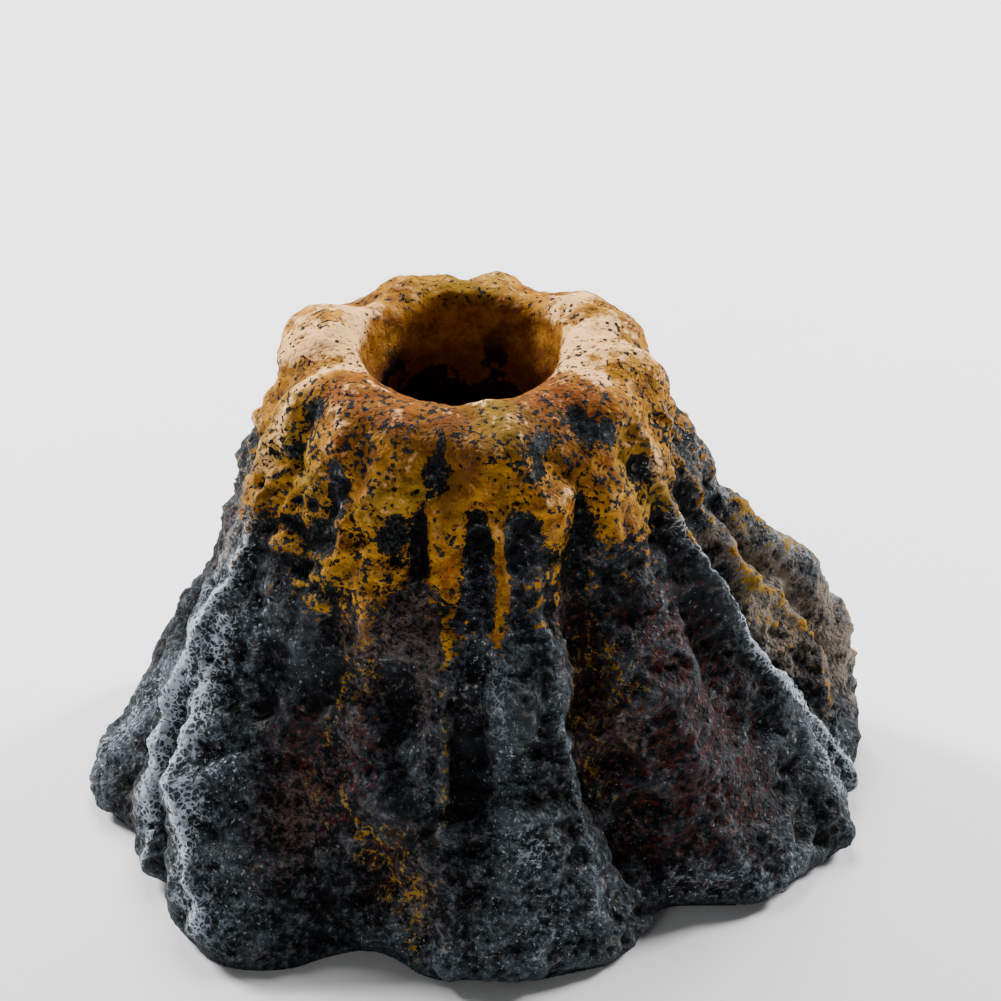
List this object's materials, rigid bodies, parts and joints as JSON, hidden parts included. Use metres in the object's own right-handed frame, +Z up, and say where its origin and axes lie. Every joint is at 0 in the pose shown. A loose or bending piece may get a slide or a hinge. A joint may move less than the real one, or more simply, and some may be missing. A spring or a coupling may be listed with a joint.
{
  "type": "bubbling aquarium volcano",
  "caption": "Hollow cast-resin volcano that stands over an upright air stone unit, so that air bubbles rise out of its crater.",
  "frame": {"origin": "middle of the footprint, on the surface that the ornament stands on", "axes": "+Z up; -Y is the front, and the hose notch is in the rear foot, towards +Y; +X is to the right seen from the front"},
  "size_m": [0.076, 0.066, 0.05],
  "materials": {
    "rock": "matte",
    "mineral": "matte",
    "cap_plastic": "satin",
    "silicone": "satin",
    "fitting_plastic": "satin",
    "clip_plastic": "satin",
    "cup_rubber": "gloss"
  },
  "bodies": {
    "air_unit": {"suction_cup": "cup_rubber", "tube_clip": "clip_plastic", "elbow_fitting": "fitting_plastic", "coupling_sleeve": "silicone"},
    "shell": {"volcano_shell": "rock"},
    "stone": {"air_stone": "mineral", "stone_cap": "cap_plastic"}
  },
  "joints": [
    {"name": "shell_lift", "type": "slide", "parent": "air_unit", "child": "shell", "axis": [0, 0, 1], "range_m": [0, 0.07]},
    {"name": "stone_pull", "type": "slide", "parent": "air_unit", "child": "stone", "axis": [0, 0, 1], "range_m": [0, 0.045]}
  ]
}
